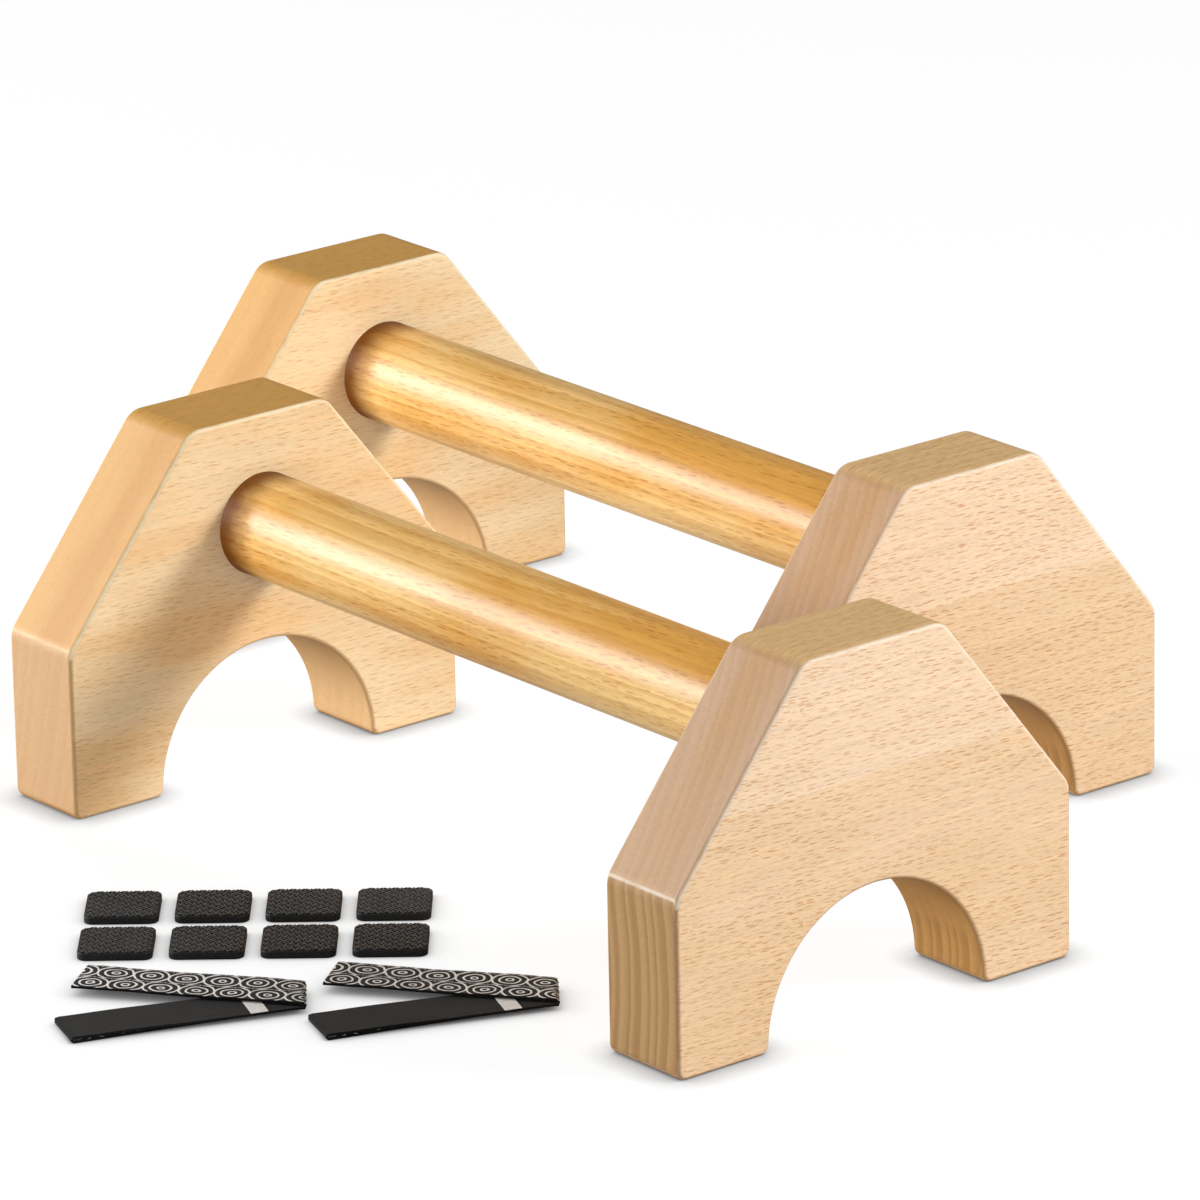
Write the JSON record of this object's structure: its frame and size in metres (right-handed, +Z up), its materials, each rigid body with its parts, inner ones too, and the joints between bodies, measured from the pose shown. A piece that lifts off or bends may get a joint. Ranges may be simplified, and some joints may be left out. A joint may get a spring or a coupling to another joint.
{
  "type": "parallette bar pair",
  "caption": "Low wooden parallettes: arched six-sided end blocks joined by a round grip bar, with loose anti-slip foot pads and folded grip tapes lying in front.",
  "frame": {"origin": "on the floor, at the middle of the box round the pair and its kit", "axes": "+X along the grip bars, +Y from the near parallette to the far one, +Z up"},
  "size_m": [0.49, 0.4496, 0.134],
  "materials": {
    "block_wood": "satin",
    "bar_wood": "gloss varnish",
    "screw_steel": "zinc plated",
    "pad_rubber": "moulded tread",
    "tape_cloth": "printed cloth",
    "tab_paper": "matt paper"
  },
  "bodies": {
    "root": {"near_left_block": "block_wood", "near_right_block": "block_wood", "near_bar": "bar_wood", "near_left_screw": "screw_steel", "near_right_screw": "screw_steel", "far_left_block": "block_wood", "far_right_block": "block_wood", "far_bar": "bar_wood", "far_left_screw": "screw_steel", "far_right_screw": "screw_steel", "foot_pad_1": "pad_rubber", "foot_pad_2": "pad_rubber", "foot_pad_3": "pad_rubber", "foot_pad_4": "pad_rubber", "foot_pad_5": "pad_rubber", "foot_pad_6": "pad_rubber", "foot_pad_7": "pad_rubber", "foot_pad_8": "pad_rubber", "left_grip_tape": "tape_cloth", "right_grip_tape": "tape_cloth", "left_tape_tab": "tab_paper", "right_tape_tab": "tab_paper"}
  },
  "joints": []
}
